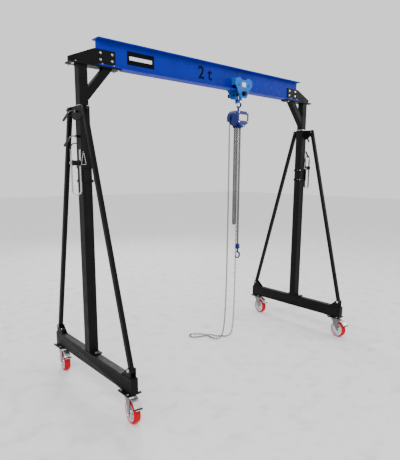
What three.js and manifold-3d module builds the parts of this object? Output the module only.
// Portable gantry crane with a push trolley and a hand chain hoist, in millimetres, +Z up.
// X runs along the lifting beam, Y across it, and Z = 0 is the floor. The origin is on the floor in
// the middle of the footprint, and the beam's middle plane lies CRANE_Y behind it, because the
// swivelled casters reach out in front of the base beams.
import * as THREE from 'three';
import { mergeVertices } from 'three/addons/utils/BufferGeometryUtils.js';
import Module from 'manifold-3d';

const wasm = await Module();
wasm.setup();

// ---- driving dimensions ----
const GAP = 0.3; // between solids that touch or are cut by a neighbour
const CRANE_Y = 46; // the beam's middle plane

const COLUMN_X = 1350; // column centre from the middle of the span
const BASE_LENGTH = 1300;
const BASE_WIDTH = 60;
const BASE_HEIGHT = 120;
const BASE_Z = 220; // underside of the base beam
const BASE_TOP = BASE_Z + BASE_HEIGHT;
const TUBE_WALL = 4;

const OUTER = 80; // outer column, square tube
const OUTER_TOP = 2285;
const INNER = 70; // inner column, square tube
const INNER_BOTTOM = 900;

const BEAM_LENGTH = 2450;
const BEAM_HEIGHT = 200;
const BEAM_WIDTH = 100;
const FLANGE = 10;
const WEB = 6;
const HEAD_PLATE = 12; // plate under the beam's lower flange
const HEAD_TOP = 2590;
const BEAM_Z = HEAD_TOP + GAP; // underside of the beam

const BRACE = 32; // brace, square tube
const BRACE_WALL = 2.5;
const BRACE_TOP = { out: 44, y: 118, z: 2262 }; // out is measured from the column's centre
const BRACE_FOOT = { out: 0, y: 612, z: 395 };

const CASTER_Y = 580; // kingpin from the middle of the base beam
const WHEEL_R = 85;
const WHEEL_WIDTH = 54;
const TRAIL = 55; // axle behind the kingpin
const SWIVEL_DEG = -9; // how far the casters are turned

const TROLLEY_X = 315;
const TROLLEY_WHEEL_R = 38;
const TROLLEY_WHEEL_X = 66; // axle from the trolley's middle
const TROLLEY_PLATE_Y = 64; // inner face of a side plate from the beam's middle plane
const SHAFT_Z = 2560;
const HANGER_PIN_Z = 2490;

const HOIST_Z = 2335; // sheave axis
const CHAIN_R = 12; // half the width of a load chain link
const LOAD_CHAIN_X = 30; // from the hoist's middle
const SLACK_HALF = 14; // half the distance between the slack loop's two sides
const HAND_CHAIN_R = 8.5;
const HAND_WHEEL_R = 61; // to the middle of the hand chain
const HAND_WHEEL_Y = 56;
const HOOK_BLOCK_TOP = 1075;

// ---- materials ----
const finish = (color, roughness, metalness) =>
  new THREE.MeshStandardMaterial({ color, roughness, metalness });
const blackPaint = finish(0x17181a, 0.45, 0.2);
const beamBlue = finish(0x2148be, 0.35, 0.2);
const trolleyBlue = finish(0x0a8cdc, 0.35, 0.2);
const hoistBlue = finish(0x263a94, 0.35, 0.3);
const zinc = finish(0xc4c8cc, 0.35, 0.9);
const darkSteel = finish(0x2a2c2f, 0.5, 0.8);
const redTyre = finish(0xe1142a, 0.5, 0);

// ---- solids: three.js shapes, joined and cut with manifold-3d ----
function solid(geometry) {
  geometry.deleteAttribute('normal');
  geometry.deleteAttribute('uv');
  const merged = mergeVertices(geometry, 1e-3);
  return new wasm.Manifold(new wasm.Mesh({
    numProp: 3,
    vertProperties: new Float32Array(merged.attributes.position.array),
    triVerts: new Uint32Array(merged.index.array),
  }));
}

const join = (...solids) => solids.reduce((a, b) => a.add(b));
const cut = (whole, ...tools) => tools.reduce((a, b) => a.subtract(b), whole);

// A box from its size and its centre.
function box(size, centre) {
  return solid(new THREE.BoxGeometry(...size).translate(...centre));
}

// A box from its low and high ends along X, Y and Z.
function block([x0, x1], [y0, y1], [z0, z1]) {
  return box([x1 - x0, y1 - y0, z1 - z0], [(x0 + x1) / 2, (y0 + y1) / 2, (z0 + z1) / 2]);
}

// A round bar along an axis, from one end to the other, through the point at.
function bar(axis, radius, ends, at, sides = 16) {
  const length = ends[1] - ends[0];
  const middle = (ends[0] + ends[1]) / 2;
  const geometry = new THREE.CylinderGeometry(radius, radius, length, sides);
  if (axis === 'x') geometry.rotateZ(-Math.PI / 2).translate(middle, at[0], at[1]);
  if (axis === 'y') geometry.translate(at[0], middle, at[1]);
  if (axis === 'z') geometry.rotateX(Math.PI / 2).translate(at[0], at[1], middle);
  return solid(geometry);
}

// A plate cut from an outline in the XZ plane, between two values of Y.
function plateXZ(shape, y0, y1, curveSegments = 8) {
  const geometry = new THREE.ExtrudeGeometry(shape, { depth: y1 - y0, bevelEnabled: false, curveSegments });
  return solid(geometry.rotateX(Math.PI / 2).translate(0, y1, 0));
}

// A plate cut from an outline in the YZ plane, between two values of X.
function plateYZ(shape, x0, x1, curveSegments = 8) {
  const geometry = new THREE.ExtrudeGeometry(shape, { depth: x1 - x0, bevelEnabled: false, curveSegments });
  return solid(geometry.rotateY(Math.PI / 2).rotateX(Math.PI / 2).translate(x0, 0, 0));
}

const outline = (points) => new THREE.Shape(points.map(([a, b]) => new THREE.Vector2(a, b)));

// A turned piece from a closed profile of [radius, along] points, its axis along Y.
function turned(profile, sides) {
  const points = [...profile, profile[0]].map(([radius, along]) => new THREE.Vector2(radius, along));
  return solid(new THREE.LatheGeometry(points, sides));
}

// A round bar or cord that follows a curve.
function follow(curve, radius, sides, steps) {
  const section = new THREE.Shape();
  for (let i = 0; i < sides; i += 1) {
    const angle = (2 * Math.PI * i) / sides;
    const point = [radius * Math.cos(angle), radius * Math.sin(angle)];
    if (i === 0) section.moveTo(...point);
    else section.lineTo(...point);
  }
  section.closePath();
  return solid(new THREE.ExtrudeGeometry(section, { steps, extrudePath: curve, bevelEnabled: false }));
}

const through = (points, tension = 0.5) =>
  new THREE.CatmullRomCurve3(points.map((p) => new THREE.Vector3(...p)), false, 'catmullrom', tension);

function add(name, shape, material, parent) {
  const { vertProperties, triVerts, numProp } = shape.getMesh();
  const position = new Float32Array((vertProperties.length / numProp) * 3);
  for (let i = 0; i < position.length / 3; i += 1) {
    position.set(vertProperties.subarray(i * numProp, i * numProp + 3), i * 3);
  }
  const geometry = new THREE.BufferGeometry();
  geometry.setAttribute('position', new THREE.BufferAttribute(position, 3));
  geometry.setIndex(new THREE.BufferAttribute(new Uint32Array(triVerts), 1));
  geometry.computeVertexNormals();
  const mesh = new THREE.Mesh(geometry, material);
  mesh.name = name;
  parent.add(mesh);
}

// ---- a leg: side is -1 for the left one and 1 for the right one ----
// Inside a leg, out(d) is the X of a point d outboard of the column's centre.
const outOf = (side) => (d) => side * (COLUMN_X + d);
const span = (side, a, b) => [outOf(side)(a), outOf(side)(b)].sort((p, q) => p - q);

function baseBeam(side, parent) {
  const half = BASE_LENGTH / 2;
  const wall = TUBE_WALL;
  const x = BASE_WIDTH / 2;
  let beam = block(span(side, -x, x), [-half, half], [BASE_Z, BASE_TOP]);
  const inside = [BASE_Z + wall, BASE_TOP - wall];
  const hollow = block(span(side, wall - x, x - wall), [wall - half, half - wall], inside);
  const drain = (y) => bar('z', 6, [BASE_Z - 1, BASE_Z + wall + 1], [outOf(side)(0), y], 8);
  beam = cut(beam, hollow, drain(-450), drain(450));
  for (const end of [-1, 1]) {
    const y = end * CASTER_Y;
    const pad = block(span(side, -60, 60), [y - 70, y + 70], [BASE_Z - 8, BASE_Z + 1]);
    beam = join(beam, cut(pad, hollow));
    const rise = BRACE_FOOT.z + 13;
    const lug = outline([
      [end * 515, BASE_TOP - 1], [end * 592, rise], [end * 634, rise], [end * 634, BASE_TOP - 1],
    ]);
    const inner = BRACE / 2 + 1.5;
    for (const a of [-inner - 8, inner]) {
      beam = join(beam, plateYZ(lug, ...span(side, a, a + 8)));
    }
    beam = cut(beam, bar('x', 8.6, span(side, -40, 40), [end * BRACE_FOOT.y, BRACE_FOOT.z], 12));
  }
  add(`${side < 0 ? 'left' : 'right'}_base_beam`, beam, blackPaint, parent);
}

function outerColumn(side, parent) {
  const half = OUTER / 2;
  const inside = half - TUBE_WALL;
  const foot = BASE_TOP + GAP;
  let column = block(span(side, -half, half), [-half, half], [foot, OUTER_TOP]);
  column = join(column, block(span(side, -45, 45), [-100, 100], [foot, foot + 10]));
  column = cut(column, block(span(side, -inside, inside), [-inside, inside], [foot + 10, OUTER_TOP + 1]));
  const top = BRACE_TOP.z + 24;
  const bracket = outline([
    [-138, top], [138, top], [138, top - 38], [50, 2186], [-50, 2186], [-138, top - 38],
  ]);
  column = join(column, plateYZ(bracket, ...span(side, half - 1, half + 8)));
  for (const y of [-BRACE_TOP.y, BRACE_TOP.y]) {
    column = cut(column, bar('x', 8.6, span(side, half - 5, half + 12), [y, BRACE_TOP.z], 12));
  }
  const peg = [-half - 19, 1 - half];
  column = join(column, bar('y', 4, peg, [outOf(side)(RING.out), RING.top], 8));
  for (const z of LOCK_Z) {
    column = join(column, bar('x', 11, span(side, half - 1, half + 18), [0, z], 6));
    column = cut(column, bar('x', 6.5, span(side, half + 1, half + 20), [0, z], 12));
  }
  add(`${side < 0 ? 'left' : 'right'}_outer_column`, column, blackPaint, parent);
}

// A brace from the base beam's lug up to the bracket's plate, which its slotted top end straddles.
function brace(side, end, parent) {
  const out = outOf(side);
  const foot = new THREE.Vector3(out(BRACE_FOOT.out), end * BRACE_FOOT.y, BRACE_FOOT.z);
  const head = new THREE.Vector3(out(BRACE_TOP.out), end * BRACE_TOP.y, BRACE_TOP.z);
  const along = head.clone().sub(foot).normalize();
  const across = new THREE.Vector3(1, 0, 0).projectOnPlane(along).normalize();
  const frame = new THREE.Matrix4().makeBasis(across, along.clone().cross(across), along);
  const spare = 22; // past each pin
  const length = head.distanceTo(foot) + 2 * spare;
  frame.setPosition(foot.clone().addScaledVector(along, -spare));
  const tube = new THREE.BoxGeometry(BRACE, BRACE, length).translate(0, 0, length / 2).applyMatrix4(frame);
  const bore = BRACE - 2 * BRACE_WALL;
  const hollow = new THREE.BoxGeometry(bore, bore, length - 92).translate(0, 0, length / 2 - 20);
  hollow.applyMatrix4(frame);
  let shape = cut(solid(tube), solid(hollow));
  const face = OUTER / 2;
  const slot = [BRACE_TOP.z - 52, BRACE_TOP.z + 60];
  shape = cut(shape, block(span(side, face - 1.6, face + 8.6), [-1000, 1000], slot));
  shape = join(
    shape,
    bar('x', 8, span(side, face - 24, face + 32), [end * BRACE_TOP.y, BRACE_TOP.z], 12),
    bar('x', 8, span(side, -34, 34), [end * BRACE_FOOT.y, BRACE_FOOT.z], 12),
  );
  const name = `${side < 0 ? 'left' : 'right'}_${end < 0 ? 'front' : 'back'}_brace`;
  add(name, shape, blackPaint, parent);
}

// ---- the height winch on the column's outboard side ----
const WINCH = { y: -40, in: 52, out: 127, top: 1965, bottom: 1627, strap: 5, width: 20, axle: 1867 };
const LOCK_Z = [2245, 2065];

function winchClamp(side, parent) {
  const half = OUTER / 2 + GAP;
  const band = half + 5;
  let clamp = block(span(side, half, WINCH.in - 0.6), [WINCH.y - 18, WINCH.y + 18], [1722, 1849]);
  for (const z of [1733, 1838]) {
    let ring = block(span(side, -band, band), [-band, band], [z - 11, z + 11]);
    ring = cut(ring, block(span(side, -half, half), [-half, half], [z - 12, z + 12]));
    const ear = block(span(side, -band - 10, -band + 1), [-band, -band + 24], [z - 11, z + 11]);
    clamp = join(clamp, ring, ear);
  }
  add(`${side < 0 ? 'left' : 'right'}_winch_clamp`, clamp, blackPaint, parent);
}

function winchFrame(side, parent) {
  const middle = (WINCH.in + WINCH.out) / 2;
  const radius = (WINCH.out - WINCH.in) / 2;
  const bend = WINCH.bottom + radius;
  const out = outOf(side);
  const shape = new THREE.Shape();
  shape.moveTo(out(WINCH.in), WINCH.top);
  shape.lineTo(out(WINCH.in), bend);
  shape.absarc(out(middle), bend, radius, side < 0 ? 0 : Math.PI, side < 0 ? Math.PI : 0, side < 0);
  shape.lineTo(out(WINCH.out), WINCH.top);
  shape.lineTo(out(WINCH.out - WINCH.strap), WINCH.top);
  shape.lineTo(out(WINCH.out - WINCH.strap), bend);
  const start = side < 0 ? Math.PI : 0;
  shape.absarc(out(middle), bend, radius - WINCH.strap, start, Math.PI - start, side > 0);
  shape.lineTo(out(WINCH.in + WINCH.strap), WINCH.top);
  shape.closePath();
  const y = [WINCH.y - WINCH.width / 2, WINCH.y + WINCH.width / 2];
  let frame = plateXZ(shape, y[0], y[1], 10);
  frame = cut(frame, bar('x', 8.5, span(side, WINCH.in - 5, WINCH.out + 5), [WINCH.y, WINCH.axle], 12));
  add(`${side < 0 ? 'left' : 'right'}_winch_frame`, frame, zinc, parent);
}

function winchDrum(side, parent) {
  const first = WINCH.in + WINCH.strap + 1;
  const last = WINCH.out - WINCH.strap - 1;
  const profile = [
    [0.01, WINCH.in + 0.3], [8, WINCH.in + 0.3], [8, first], [23, first], [23, first + 6], [17, first + 6],
    [17, last - 6], [23, last - 6], [23, last], [8, last], [8, WINCH.out + 6], [0.01, WINCH.out + 6],
  ];
  const drum = turnedOnAxis(profile, 16).rotate([0, 0, side < 0 ? 90 : -90]);
  const placed = drum.translate([side * COLUMN_X, WINCH.y, WINCH.axle]);
  add(`${side < 0 ? 'left' : 'right'}_winch_drum`, placed, darkSteel, parent);
}

// A turned piece whose profile starts and ends on the axis.
function turnedOnAxis(profile, sides) {
  const points = profile.map(([radius, along]) => new THREE.Vector2(radius < 0.1 ? 0 : radius, along));
  return solid(new THREE.LatheGeometry(points, sides));
}

// The triangular wire ring that hangs on a peg on the column's front face.
const RING = { out: 32, top: 1944, height: 100, half: 22, wire: 5 };

function winchRing(side, parent) {
  const x = outOf(side)(RING.out);
  const z = RING.top + 4 + GAP + RING.wire;
  const inset = RING.wire * 1.4;
  const low = z - RING.height;
  const shape = outline([[x - 9, z], [x + 9, z], [x + RING.half, low], [x - RING.half, low]]);
  shape.holes.push(outline([
    [x - 9 + inset * 0.6, z - RING.wire], [x - RING.half + inset, z - RING.height + RING.wire],
    [x + RING.half - inset, z - RING.height + RING.wire], [x + 9 - inset * 0.6, z - RING.wire],
  ]));
  const y = -OUTER / 2 - 11;
  add(`${side < 0 ? 'left' : 'right'}_winch_ring`, plateXZ(shape, y - RING.wire, y), zinc, parent);
}

// A clamping screw with a cranked rod and a rubber grip.
function lockScrew(side, level, parent) {
  const out = outOf(side);
  const z = LOCK_Z[level];
  const rod = follow(through([
    [out(43), 0, z], [out(68), 0, z], [out(88), 0, z - 1],
    [out(103), 0, z - 7], [out(118), 0, z - 25], [out(134), 0, z - 47],
  ]), 5, 10, 14);
  const grip = follow(through([[out(111), 0, z - 16], [out(157), 0, z - 79]]), 10, 12, 1);
  const name = `${side < 0 ? 'left' : 'right'}_${level === 0 ? 'upper' : 'lower'}_lock_screw`;
  add(name, join(rod, grip), zinc, parent);
}

// ---- casters: built with the trail along -Y, then turned about the kingpin ----
function caster(side, end, parent) {
  const place = (shape) => shape.rotate([0, 0, SWIVEL_DEG]).translate([side * COLUMN_X, end * CASTER_Y, 0]);
  const fixed = (shape) => shape.translate([side * COLUMN_X, end * CASTER_Y, 0]);
  const name = `${side < 0 ? 'left' : 'right'}_${end < 0 ? 'front' : 'back'}`;
  const plateTop = BASE_Z - 8 - GAP;
  const crown = 195;

  const plate = join(
    block([-52, 52], [-58, 58], [plateTop - 6, plateTop]),
    bar('z', 36, [crown + GAP, plateTop - 5], [0, 0], 20),
  );
  add(`${name}_caster_plate`, fixed(plate), zinc, parent);

  const leg = outline([
    [22, crown], [-40, crown], [-75, 190], [-78, 170],
    [-TRAIL - 16, WHEEL_R + 18], [-TRAIL - 13, WHEEL_R - 13],
    [-TRAIL + 13, WHEEL_R - 13], [-TRAIL + 16, WHEEL_R + 18], [8, 174], [22, 186],
  ]);
  let fork = bar('z', 38, [crown - 9, crown], [0, 0], 20);
  fork = join(fork, block([-35, 35], [-36, 24], [crown - 9, crown]));
  for (const x of [-35, 30]) {
    fork = join(fork, plateYZ(leg, x, x + 5));
  }
  const axle = bar('x', 8, [-41, 41], [-TRAIL, WHEEL_R], 12);
  fork = join(fork, axle, bar('x', 4, [-32, 32], [PEDAL.y, PEDAL.z], 8));
  add(`${name}_caster_fork`, place(fork), zinc, parent);

  const half = WHEEL_WIDTH / 2;
  const rim = WHEEL_R / Math.cos(Math.PI / 24); // so that the flats lie on the wheel's radius
  const profile = [
    [8.6, -half], [27, -half], [27, -14], [60, -14], [60, -half], [rim - 5, -half], [rim, -half + 5],
    [rim, half - 5], [rim - 5, half], [60, half], [60, 14], [27, 14], [27, half], [8.6, half],
  ];
  const wheel = turned(profile, 24).rotate([0, 0, -90]).rotate([360 / 48, 0, 0]);
  add(`${name}_wheel`, place(wheel.translate([0, -TRAIL, WHEEL_R])), redTyre, parent);

  add(`${name}_brake_pedal`, place(brakePedal()), zinc, parent);
}

// The pedal turns on a pin between the fork's legs, and its hood follows the tyre down behind it.
const PEDAL = { y: -66, z: 179 };

function brakePedal() {
  const hood = outline([
    [-57, 172], [-57, 187], [-78, 193], [-112, 190], [-140, 174], [-151, 151], [-168, 147], [-168, 142],
    [-148, 144], [-142, 148], [-132, 167], [-109, 182], [-79, 184], [-73, 173],
  ]);
  return cut(plateYZ(hood, -26, 26), bar('x', 4.4, [-32, 32], [PEDAL.y, PEDAL.z], 8));
}

// ---- what lifts: the beam, its heads and the inner columns ----
function liftingBeam(parent) {
  const w = BEAM_WIDTH / 2;
  const t = WEB / 2;
  const top = BEAM_Z + BEAM_HEIGHT;
  const section = outline([
    [-w, BEAM_Z], [w, BEAM_Z], [w, BEAM_Z + FLANGE], [t, BEAM_Z + FLANGE],
    [t, top - FLANGE], [w, top - FLANGE], [w, top], [-w, top],
    [-w, top - FLANGE], [-t, top - FLANGE], [-t, BEAM_Z + FLANGE], [-w, BEAM_Z + FLANGE],
  ]);
  add('lifting_beam', plateYZ(section, -BEAM_LENGTH / 2, BEAM_LENGTH / 2), beamBlue, parent);
}

function head(side, parent) {
  const along = span(side, 1030 - COLUMN_X, 1450 - COLUMN_X);
  let bracket = block(along, [-50, 50], [HEAD_TOP - HEAD_PLATE, HEAD_TOP]);
  const floor = BEAM_Z + FLANGE + GAP;
  const beamEnd = BEAM_LENGTH / 2 + 1;
  const gusset = outline([
    [side * 1447, HEAD_TOP - 1], [side * 1447, 2626], [side * 1242, 2714],
    [side * 1062, 2714], [side * 1062, floor],
    [side * beamEnd, floor], [side * beamEnd, HEAD_TOP - 1],
  ]);
  const inner = WEB / 2 + GAP;
  for (const y of [-inner - 8, inner]) {
    bracket = join(bracket, plateXZ(gusset, y, y + 8));
  }
  add(`${side < 0 ? 'left' : 'right'}_head_bracket`, bracket, blackPaint, parent);
}

function innerColumn(side, parent) {
  const half = INNER / 2;
  const inside = half - TUBE_WALL;
  const top = HEAD_TOP - HEAD_PLATE - GAP;
  const out = outOf(side);
  const column = block(span(side, -half, half), [-half, half], [INNER_BOTTOM, top]);
  const hollow = block(span(side, -inside, inside), [-inside, inside], [INNER_BOTTOM - 1, top - TUBE_WALL]);
  const slope = (top - 2325) / 215; // the knee brace rises this much for each millimetre inboard
  const rise = 92.6; // its height where it meets the column
  const knee = (start, low, high, lid) => outline([
    [out(start), low], [out(-half - (lid - low) / slope - (half + start)), lid],
    [out(-half - (lid - high) / slope - (half + start)), lid], [out(start), high],
  ]);
  const wall = TUBE_WALL * 1.54;
  const tube = plateXZ(knee(-half + 1, 2325, 2325 + rise, top), -30, 30);
  const bore = plateXZ(knee(-half - 0.5, 2325 + wall, 2325 + rise - wall, top + 1), -26, 26);
  const name = `${side < 0 ? 'left' : 'right'}_inner_column`;
  add(name, cut(join(column, tube), hollow, bore), blackPaint, parent);
}

// ---- the push trolley on the lower flange ----
function sidePlate(face, parent) {
  const x = TROLLEY_X;
  const lobe = 49;
  const shape = new THREE.Shape();
  shape.moveTo(x - 38, 2520);
  shape.lineTo(x + 38, 2520);
  shape.lineTo(x + 113, 2638);
  shape.absarc(x + 66, 2656, lobe, -0.35, Math.PI * 0.78, false);
  shape.absarc(x - 66, 2656, lobe, Math.PI * 0.22, Math.PI + 0.35, false);
  shape.closePath();
  const y = [TROLLEY_PLATE_Y, TROLLEY_PLATE_Y + 8].map((d) => face * d).sort((a, b) => a - b);
  let plate = plateXZ(shape, y[0], y[1], 8);
  plate = cut(plate, bar('y', 12.6, [y[0] - 1, y[1] + 1], [x, SHAFT_Z], 16));
  for (const way of [-1, 1]) {
    const lip = [x + way * 110, x + way * 116].sort((a, b) => a - b);
    const depth = [face * 18, face * (TROLLEY_PLATE_Y + 8)].sort((a, b) => a - b);
    plate = join(plate, block(lip, depth, [2632, 2700]));
    const axle = [face * 17, face * (TROLLEY_PLATE_Y + 1)].sort((a, b) => a - b);
    plate = join(plate, bar('y', 10, axle, [x + way * TROLLEY_WHEEL_X, trolleyWheelZ], 12));
  }
  add(`trolley_${face < 0 ? 'front' : 'back'}_plate`, plate, trolleyBlue, parent);
}

const trolleyWheelZ = BEAM_Z + FLANGE + TROLLEY_WHEEL_R + GAP;

function trolleyWheel(face, way, parent) {
  const r = TROLLEY_WHEEL_R;
  const profile = [[10.4, 20], [r - 2, 20], [r, 22], [r, 50.6], [r + 5, 51.4], [r + 5, 58], [10.4, 58]];
  const wheel = turned(face < 0 ? profile.map(([a, b]) => [a, -b]).reverse() : profile, 24);
  const name = `trolley_wheel_${face < 0 ? 'front' : 'back'}_${way < 0 ? 'left' : 'right'}`;
  add(name, wheel.translate([TROLLEY_X + way * TROLLEY_WHEEL_X, 0, trolleyWheelZ]), darkSteel, parent);
}

function trolleyShaft(parent) {
  const profile = [
    [0, -104], [15, -104], [20, -99], [20, -84], [12, -84],
    [12, 122], [20, 122], [20, 136], [14, 142], [0, 142],
  ];
  add('trolley_shaft', turnedOnAxis(profile, 16).translate([TROLLEY_X, 0, SHAFT_Z]), darkSteel, parent);
}

function hanger(parent) {
  const x = TROLLEY_X;
  const shape = new THREE.Shape();
  shape.absarc(x, SHAFT_Z, 24, 0, Math.PI, false);
  shape.lineTo(x - 17, HANGER_PIN_Z);
  shape.absarc(x, HANGER_PIN_Z, 17, Math.PI, 2 * Math.PI, false);
  shape.closePath();
  const pin = bar('y', 9, [-33, 33], [x, HANGER_PIN_Z], 16);
  let straps = join(plateXZ(shape, -31, -23), plateXZ(shape, 23, 31));
  straps = cut(straps, bar('y', 12.6, [-40, 40], [x, SHAFT_Z], 16));
  add('hanger', join(straps, pin), trolleyBlue, parent);
}

// ---- the chain hoist ----
// A hook's outline in the XZ plane: a ring open on its left side, and a shank.
// up is 1 for a hook that opens downwards over a pin and -1 for one that carries the load.
function hookOutline(x, z, inner, outer, up, shankEnd, shankHalf) {
  const shape = new THREE.Shape();
  const from = up > 0 ? Math.PI * 1.16 : Math.PI * 0.84;
  const tip = up > 0 ? Math.PI * 0.86 : Math.PI * 1.14;
  const base = up > 0 ? -Math.PI / 2 : Math.PI / 2;
  const nip = Math.asin(shankHalf / outer);
  shape.absarc(x, z, outer, base + up * nip, tip + (up > 0 ? 0 : -2 * Math.PI), up < 0);
  shape.absarc(x, z, inner, tip + (up > 0 ? 0 : -2 * Math.PI), from + (up > 0 ? -2 * Math.PI : 0), up > 0);
  shape.absarc(x, z, outer, from + (up > 0 ? -2 * Math.PI : 0), base - up * nip, up < 0);
  shape.lineTo(x - shankHalf, shankEnd);
  shape.lineTo(x + shankHalf, shankEnd);
  shape.closePath();
  return shape;
}

const TOP_HOOK = { inner: 25, outer: 41 };
const topHookZ = HANGER_PIN_Z + 9 + GAP - TOP_HOOK.inner;

function topHook(parent) {
  const x = TROLLEY_X;
  const shape = hookOutline(x, topHookZ, TOP_HOOK.inner, TOP_HOOK.outer, 1, 2409, 11);
  const hook = join(plateXZ(shape, -9, 9, 10), bar('z', 16, [2408, 2416], [x, 0], 16));
  add('top_hook', hook, hoistBlue, parent);
}

function hoistFrame(parent) {
  const x = TROLLEY_X;
  const shape = outline([
    [x - 66, 2282], [x - 34, 2252], [x + 50, 2252], [x + 72, 2290],
    [x + 72, 2372], [x + 34, 2406], [x - 34, 2406], [x - 66, 2380],
  ]);
  const frame = join(
    plateXZ(shape, -32, 34),
    bar('y', 10, [33, HAND_WHEEL_Y + 14], [x, HOIST_Z], 12),
    bar('z', 17, [2243, 2254], [x + LOAD_CHAIN_X, 0], 12),
    bar('z', 17, [2243, 2254], [x - LOAD_CHAIN_X, -SLACK_HALF], 12),
    bar('z', 17, [2243, 2254], [x - LOAD_CHAIN_X, SLACK_HALF], 12),
  );
  add('hoist_frame', frame, hoistBlue, parent);
}

function gearCover(parent) {
  const x = TROLLEY_X;
  const shape = new THREE.Shape();
  shape.moveTo(x - 66, 2290);
  shape.lineTo(x - 26, 2262);
  shape.absarc(x + 4, 2272, 28, Math.PI * 1.1, Math.PI * 1.9, false);
  shape.lineTo(x + 72, 2288);
  shape.absarc(x + 62, 2306, 18, -Math.PI * 0.2, 0, false);
  shape.lineTo(x + 80, 2372);
  shape.absarc(x + 54, 2372, 26, 0, Math.PI / 2, false);
  shape.lineTo(x - 50, 2398);
  shape.absarc(x - 50, 2372, 26, Math.PI / 2, Math.PI, false);
  shape.closePath();
  add('gear_cover', plateXZ(shape, -68, -32 - GAP, 5), hoistBlue, parent);
}

function handWheelCover(parent) {
  const x = TROLLEY_X;
  const y = [34 + GAP, 80];
  let cover = bar('y', 78, y, [x, HOIST_Z], 32);
  cover = cut(cover, bar('y', 74, [y[0] - 1, y[1] - 4], [x, HOIST_Z], 32));
  cover = cut(cover, block([x - 90, x + 90], [y[0] - 1, y[1] + 1], [2240, HOIST_Z - 34]));
  add('hand_wheel_cover', cover, hoistBlue, parent);
}

function handWheel(parent) {
  const y = HAND_WHEEL_Y;
  const r = HAND_WHEEL_R;
  const profile = [
    [10.5, y - 12], [r + 7, y - 12], [r + 7, y - 10], [r - 10, y - 5],
    [r - 10, y + 5], [r + 7, y + 10], [r + 7, y + 12], [10.5, y + 12],
  ];
  add('hand_wheel', turned(profile, 28).translate([TROLLEY_X, 0, HOIST_Z]), darkSteel, parent);
}

const chainTop = 2243 - GAP;

function loadChain(parent) {
  const bottom = HOOK_BLOCK_TOP + GAP;
  const chain = bar('z', CHAIN_R, [bottom, chainTop], [TROLLEY_X + LOAD_CHAIN_X, 0], 8);
  add('load_chain', chain, darkSteel, parent);
}

// The slack side of the load chain: down from the hoist, round and back up to its anchor.
function slackChain(parent) {
  const x = TROLLEY_X - LOAD_CHAIN_X;
  const low = 1290;
  const half = SLACK_HALF;
  const points = [];
  for (const z of [chainTop, 2120, 1900, 1680, 1480, 1340]) points.push([x, -half, z]);
  for (const a of [-60, -30, 0, 30, 60]) {
    const t = THREE.MathUtils.degToRad(a);
    points.push([x, half * Math.sin(t), low + half * (1 - Math.cos(t))]);
  }
  for (const z of [1340, 1480, 1680, 1900, 2120, chainTop]) points.push([x, half, z]);
  add('slack_chain', follow(through(points), CHAIN_R, 8, 40), darkSteel, parent);
}

// The endless hand chain: down from the hand wheel, along the floor behind the hoist and back up.
const HAND_CHAIN = [
  ...[2290, 2050, 1750, 1400].map((z) => [-61, 0, z]),
  [-62, 1, 1050], [-64, 3, 700], [-68, 8, 400], [-74, 18, 190], [-84, 42, 66], [-98, 92, 18],
  [-112, 160, 10], [-104, 240, 10], [-122, 318, 10], [-168, 372, 10], [-226, 392, 10],
  [-268, 366, 10], [-262, 312, 10], [-214, 284, 10], [-156, 262, 10],
  [-100, 216, 28], [-46, 176, 12], [6, 140, 10], [42, 92, 14],
  [58, 44, 60], [62, 20, 180], [62, 8, 400], [62, 3, 700], [61, 1, 1050],
  ...[1400, 1750, 2050, 2290].map((z) => [61, 0, z]),
];

function handChain(parent) {
  const points = HAND_CHAIN.map(([x, y, z]) => [TROLLEY_X + x, HAND_WHEEL_Y + y, z]);
  add('hand_chain', follow(through(points), HAND_CHAIN_R, 8, 66), zinc, parent);
}

const HOOK = { z: 957, inner: 22, outer: 40 };

function hookBlock(parent) {
  const x = TROLLEY_X + LOAD_CHAIN_X;
  const top = HOOK_BLOCK_TOP;
  const profile = [[0, top - 52], [17, top - 52], [25, top - 42], [25, top - 14], [16, top], [0, top]];
  const body = turnedOnAxis(profile, 16).rotate([90, 0, 0]).translate([x, 0, 0]);
  add('hook_block', body, hoistBlue, parent);
}

function loadHook(parent) {
  const x = TROLLEY_X + LOAD_CHAIN_X;
  const end = HOOK_BLOCK_TOP - 52 - GAP;
  const shape = hookOutline(x, HOOK.z, HOOK.inner, HOOK.outer, -1, end, 10);
  add('load_hook', plateXZ(shape, -11, 11, 10), hoistBlue, parent);
}

// The sprung latch just inside the hook's mouth, and its pivot from the hook's centre.
const LATCH = { x: -16.5, z: 9.5 };

function latch(parent) {
  const x = TROLLEY_X + LOAD_CHAIN_X;
  const [px, pz] = [x + LATCH.x, HOOK.z + LATCH.z];
  const shape = outline([
    [px - 2.4, pz], [px - 2.6, pz - 17.5], [px + 0.8, pz - 17.5],
    [px + 2.4, pz], [px + 1.2, pz + 2.4], [px - 1, pz + 2.4],
  ]);
  add('hook_latch', plateXZ(shape, -6, 6), zinc, parent);
}

// ---- assembly ----
const crane = new THREE.Group();
crane.position.y = CRANE_Y;

for (const side of [-1, 1]) {
  baseBeam(side, crane);
  outerColumn(side, crane);
  brace(side, -1, crane);
  brace(side, 1, crane);
  winchClamp(side, crane);
  winchFrame(side, crane);
  winchDrum(side, crane);
  winchRing(side, crane);
  lockScrew(side, 0, crane);
  lockScrew(side, 1, crane);
  caster(side, -1, crane);
  caster(side, 1, crane);
  innerColumn(side, crane);
  head(side, crane);
}

liftingBeam(crane);
for (const face of [-1, 1]) {
  sidePlate(face, crane);
  trolleyWheel(face, -1, crane);
  trolleyWheel(face, 1, crane);
}
trolleyShaft(crane);
hanger(crane);
topHook(crane);
hoistFrame(crane);
gearCover(crane);
handWheelCover(crane);
handWheel(crane);
loadChain(crane);
slackChain(crane);
handChain(crane);
hookBlock(crane);
loadHook(crane);
latch(crane);

export default crane;
